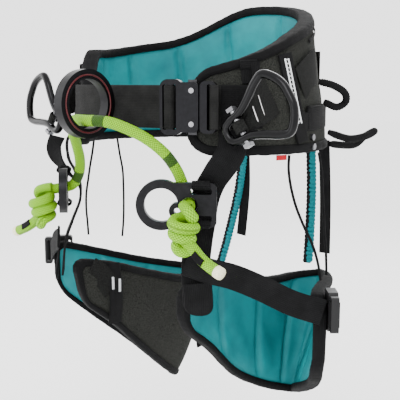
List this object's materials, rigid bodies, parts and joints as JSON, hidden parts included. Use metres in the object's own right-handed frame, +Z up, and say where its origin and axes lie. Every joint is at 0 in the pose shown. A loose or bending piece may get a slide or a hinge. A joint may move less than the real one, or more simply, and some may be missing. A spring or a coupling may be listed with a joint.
{
  "type": "tree climbing saddle",
  "caption": "Padded waist and leg-loop climbing saddle with quick buckles, side rings, gear loops and a rope bridge carrying a sliding ring.",
  "frame": {"origin": "middle of the waist loop, at the height of the middle of the waist webbing", "axes": "+X the wearer's left, -Y the front, +Z up, as the saddle stands when worn"},
  "size_m": [0.478, 0.363, 0.5061],
  "materials": {
    "teal_foam": "soft moulded",
    "grey_fabric": "coarse weave",
    "grey_webbing": "ribbed weave",
    "black_binding": "smooth tape",
    "black_tube": "ribbed",
    "reflective_tape": "retroreflective",
    "steel": "bright",
    "green_rope": "braided",
    "red_tag": "woven",
    "red_band": "satin",
    "teal_elastic": "gathered elastic",
    "black_cord": "braided",
    "black_metal": "black anodised",
    "black_webbing": "ribbed weave"
  },
  "bodies": {
    "saddle": {"belt_shell": "grey_fabric", "belt_pad": "teal_foam", "belt_binding": "black_binding", "side_webbing": "black_webbing", "back_webbing": "black_webbing", "hip_bands": "black_webbing", "hip_patches": "grey_fabric", "hip_reflectors": "reflective_tape", "snap_studs": "steel", "red_tag": "red_tag", "gear_loop_upper_left": "black_tube", "gear_loop_upper_right": "black_tube", "gear_loop_lower_left": "black_tube", "gear_loop_lower_right": "black_tube", "front_strap": "grey_webbing", "body_wrap": "grey_webbing", "buckle_body": "black_metal", "buckle_rivets": "steel", "d_pin_left": "steel", "d_pin_right": "steel", "d_flap_left": "grey_fabric", "d_flap_right": "grey_fabric", "hip_keepers": "black_webbing", "ventral_web_left": "black_webbing", "ventral_web_right": "black_webbing", "web_loops_left": "black_webbing", "web_loops_right": "black_webbing", "bridge_rope": "green_rope", "knot_left": "green_rope", "knot_right": "green_rope", "rope_tail_left": "green_rope", "rope_tail_right": "green_rope", "leg_shell_left": "grey_fabric", "leg_shell_right": "grey_fabric", "leg_foam_left": "teal_foam", "leg_foam_right": "teal_foam", "leg_binding_left": "black_binding", "leg_binding_right": "black_binding", "leg_strap_left": "black_webbing", "leg_strap_right": "black_webbing", "leg_buckle_left": "black_metal", "leg_buckle_right": "black_metal", "leg_reflectors": "reflective_tape", "elastic_risers": "teal_elastic", "cord_front_left": "black_cord", "cord_front_right": "black_cord", "cord_rear_left": "black_cord", "cord_rear_right": "black_cord"},
    "bridge_ring": {"bridge_ring": "black_metal", "ring_bands": "red_band"},
    "side_ring_left": {"side_d_left": "black_metal"},
    "side_ring_right": {"side_d_right": "black_metal"},
    "buckle_tongue": {"buckle_tongue": "black_metal", "tongue_wrap": "grey_webbing"},
    "clip_upper": {"buckle_clip_upper": "black_metal"},
    "clip_lower": {"buckle_clip_lower": "black_metal"},
    "ventral_left": {"ventral_ring_left": "black_metal"},
    "ventral_right": {"ventral_ring_right": "black_metal"},
    "leg_tongue_left": {"leg_tongue_left": "black_metal"},
    "leg_tongue_right": {"leg_tongue_right": "black_metal"}
  },
  "joints": [
    {"name": "ring_slide", "type": "slide", "parent": "saddle", "child": "bridge_ring", "axis": [1, 0, 0], "range_m": [-0.015, 0.015]},
    {"name": "side_ring_left_hinge", "type": "hinge", "parent": "saddle", "child": "side_ring_left", "pos_m": [0.149, -0.0915, -0.019], "axis": [-0.5293, -0.0391, 0.8475], "range_deg": [-12, 30]},
    {"name": "side_ring_right_hinge", "type": "hinge", "parent": "saddle", "child": "side_ring_right", "pos_m": [-0.149, -0.0915, -0.019], "axis": [-0.5293, 0.0391, -0.8475], "range_deg": [-12, 30]},
    {"name": "tongue_slide", "type": "slide", "parent": "saddle", "child": "buckle_tongue", "axis": [0.8988, 0.4384, 0], "range_m": [0, 0.003]},
    {"name": "clip_upper_hinge", "type": "hinge", "parent": "saddle", "child": "clip_upper", "pos_m": [0.09739, -0.10437, 0.017], "axis": [-0.4384, 0.8988, 0], "range_deg": [0, 9], "stiffness_Nm_per_rad": 0.05, "springref_deg": -5.73},
    {"name": "clip_lower_hinge", "type": "hinge", "parent": "saddle", "child": "clip_lower", "pos_m": [0.09739, -0.10437, -0.017], "axis": [0.4384, -0.8988, 0], "range_deg": [0, 9], "stiffness_Nm_per_rad": 0.05, "springref_deg": -5.73},
    {"name": "ventral_left_hinge", "type": "hinge", "parent": "saddle", "child": "ventral_left", "pos_m": [0.11141, -0.10765, -0.099], "axis": [0, 0, 1], "range_deg": [-5, 2]},
    {"name": "ventral_right_hinge", "type": "hinge", "parent": "saddle", "child": "ventral_right", "pos_m": [-0.11141, -0.10765, -0.099], "axis": [0, 0, -1], "range_deg": [-5, 2]},
    {"name": "leg_tongue_left_slide", "type": "slide", "parent": "saddle", "child": "leg_tongue_left", "axis": [0.6691, -0.7431, 0], "range_m": [0, 0.018]},
    {"name": "leg_tongue_right_slide", "type": "slide", "parent": "saddle", "child": "leg_tongue_right", "axis": [-0.6691, -0.7431, 0], "range_m": [0, 0.018]}
  ]
}
